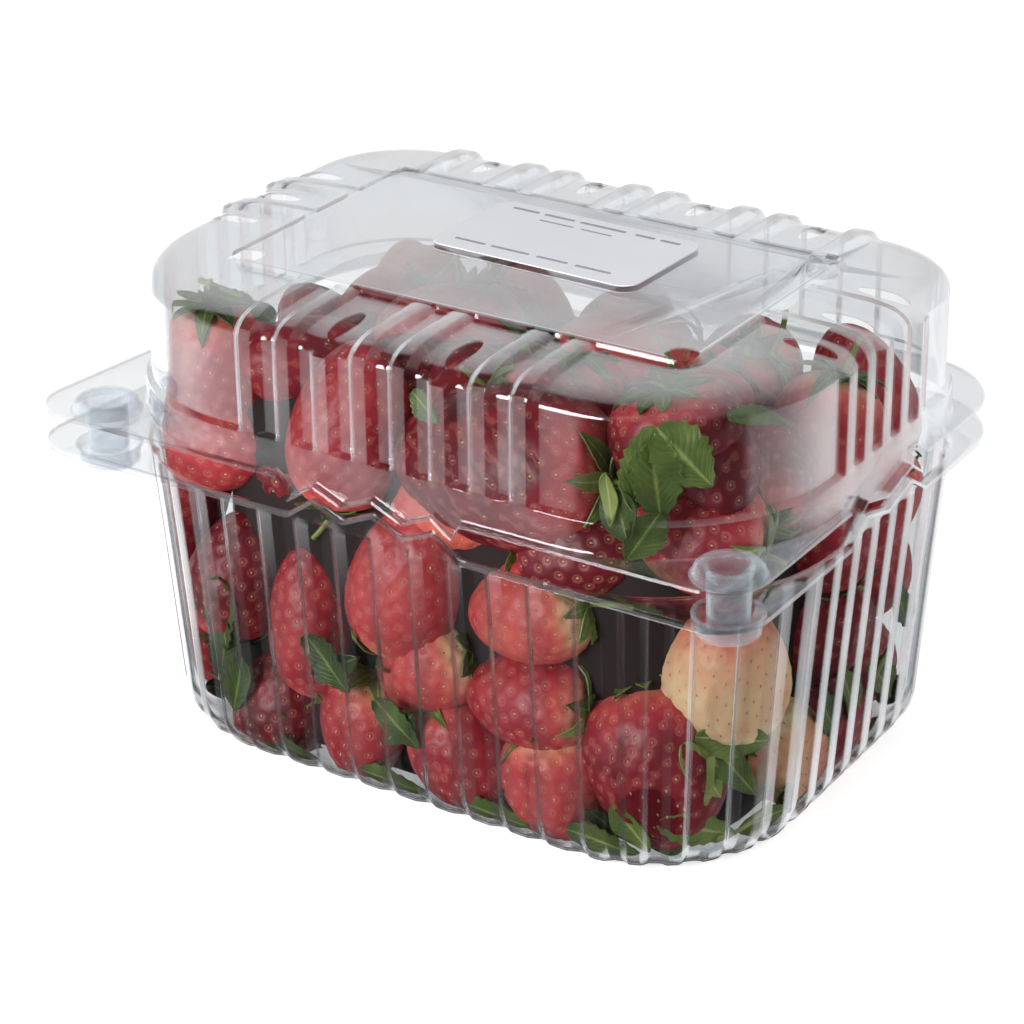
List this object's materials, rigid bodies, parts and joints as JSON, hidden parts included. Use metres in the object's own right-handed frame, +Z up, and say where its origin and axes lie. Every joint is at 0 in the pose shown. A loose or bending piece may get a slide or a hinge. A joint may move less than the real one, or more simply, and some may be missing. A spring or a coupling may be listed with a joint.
{
  "type": "punnet of strawberries",
  "caption": "Clear ribbed plastic punnet with a hinged snap lid, air vents, a blank label on top and a heap of strawberries inside.",
  "frame": {"origin": "middle of the flat underside of the tub, where it stands on a table", "axes": "+Z up; +X along the long front, towards the right end as seen from the front; -Y towards the front, which has the snap buttons; the hinge runs along +Y"},
  "size_m": [0.1825, 0.1312, 0.115],
  "materials": {
    "tub": "clear thin moulded sheet",
    "lid": "clear thin moulded sheet with fine scratches on the panel",
    "label": "coated paper, self-adhesive",
    "berries": "fruit skin with seeds, moist"
  },
  "bodies": {
    "tub": {"tub": "tub", "berries": "berries"},
    "lid": {"lid": "lid", "label": "label"}
  },
  "joints": [
    {"name": "lid_hinge", "type": "hinge", "parent": "tub", "child": "lid", "pos_m": [0, 0.07, 0.07565], "axis": [-1, 0, 0], "range_deg": [0, 180]}
  ]
}
